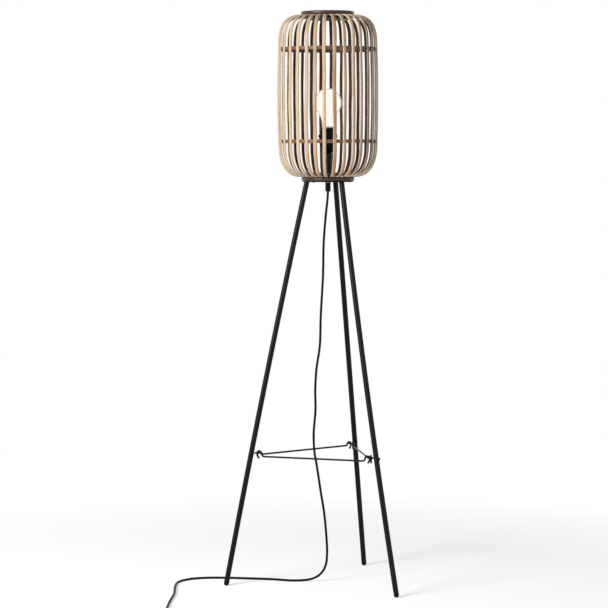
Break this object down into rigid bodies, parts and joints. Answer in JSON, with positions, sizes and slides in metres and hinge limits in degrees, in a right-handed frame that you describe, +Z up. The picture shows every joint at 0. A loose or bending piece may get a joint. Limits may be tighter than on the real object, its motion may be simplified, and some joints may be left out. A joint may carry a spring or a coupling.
{
  "type": "floor lamp",
  "caption": "Floor lamp with an upright barrel-shaped shade of split rattan slats round a clear bulb, on a slim black steel tripod with hooked spreader rods, a foot switch and a flat plug.",
  "frame": {"origin": "on the floor, in the middle of the outline of the lamp without its flex, switch and plug", "axes": "+Z up along the lamp; +Y away from the side that faces the viewer; the lamp's own axis stands at X 41.05 mm, Y -18.60 mm"},
  "size_m": [0.5079, 0.7175, 1.3],
  "materials": {
    "rattan": "split rattan, pale and dry, satin",
    "stained_wood": "dark brown stained and lacquered",
    "hoop_wood": "dark brown stained strip",
    "black_steel": "satin black powder coat",
    "black_wire": "black coated wire",
    "black_nylon": "moulded",
    "black_bakelite": "moulded, semi-gloss",
    "black_abs": "moulded, fine texture",
    "ceramic": "glazed",
    "nickel": "nickel plated",
    "bulb_glass": "clear",
    "flex": "matt black flex"
  },
  "bodies": {
    "frame_and_shade": {"top_ring": "stained_wood", "top_inner_ring": "stained_wood", "bottom_ring": "stained_wood", "bottom_inner_ring": "stained_wood", "upper_hoop": "hoop_wood", "lower_hoop": "hoop_wood", "slat_01": "rattan", "slat_02": "rattan", "slat_03": "rattan", "slat_04": "rattan", "slat_05": "rattan", "slat_06": "rattan", "slat_07": "rattan", "slat_08": "rattan", "slat_09": "rattan", "slat_10": "rattan", "slat_11": "rattan", "slat_12": "rattan", "slat_13": "rattan", "slat_14": "rattan", "slat_15": "rattan", "slat_16": "rattan", "slat_17": "rattan", "slat_18": "rattan", "slat_19": "rattan", "slat_20": "rattan", "slat_21": "rattan", "slat_22": "rattan", "slat_23": "rattan", "slat_24": "rattan", "slat_25": "rattan", "slat_26": "rattan", "slat_27": "rattan", "slat_28": "rattan", "slat_29": "rattan", "slat_30": "rattan", "hub": "black_steel", "leg_left": "black_steel", "foot_left": "black_nylon", "eye_bolt_left": "black_steel", "leg_front": "black_steel", "foot_front": "black_nylon", "eye_bolt_front": "black_steel", "leg_rear": "black_steel", "foot_rear": "black_nylon", "eye_bolt_rear": "black_steel", "lampholder_cap": "black_bakelite", "lampholder_insert": "ceramic", "lampholder_skirt": "black_bakelite", "cord_gland": "black_nylon", "cord": "flex", "cord_coil": "flex", "switch_housing": "black_abs", "plug": "black_abs"},
    "bulb": {"bulb_cap": "nickel", "bulb_glass": "bulb_glass"},
    "spreader_left_front": {"spreader_rod_left_front": "black_wire"},
    "spreader_front_rear": {"spreader_rod_front_rear": "black_wire"},
    "spreader_rear_left": {"spreader_rod_rear_left": "black_wire"},
    "foot_switch_button": {"switch_button": "black_abs"}
  },
  "joints": [
    {"name": "bulb_out", "type": "slide", "parent": "frame_and_shade", "child": "bulb", "axis": [0, 0, 1], "range_m": [0, 0.03]},
    {"name": "spreader_left_front_lift", "type": "slide", "parent": "frame_and_shade", "child": "spreader_left_front", "axis": [0, 0, 1], "range_m": [0, 0.02]},
    {"name": "spreader_front_rear_lift", "type": "slide", "parent": "frame_and_shade", "child": "spreader_front_rear", "axis": [0, 0, 1], "range_m": [0, 0.02]},
    {"name": "spreader_rear_left_lift", "type": "slide", "parent": "frame_and_shade", "child": "spreader_rear_left", "axis": [0, 0, 1], "range_m": [0, 0.02]},
    {"name": "switch_press", "type": "slide", "parent": "frame_and_shade", "child": "foot_switch_button", "axis": [0, 0, -1], "range_m": [0, 0.003], "stiffness_N_per_m": 400}
  ]
}
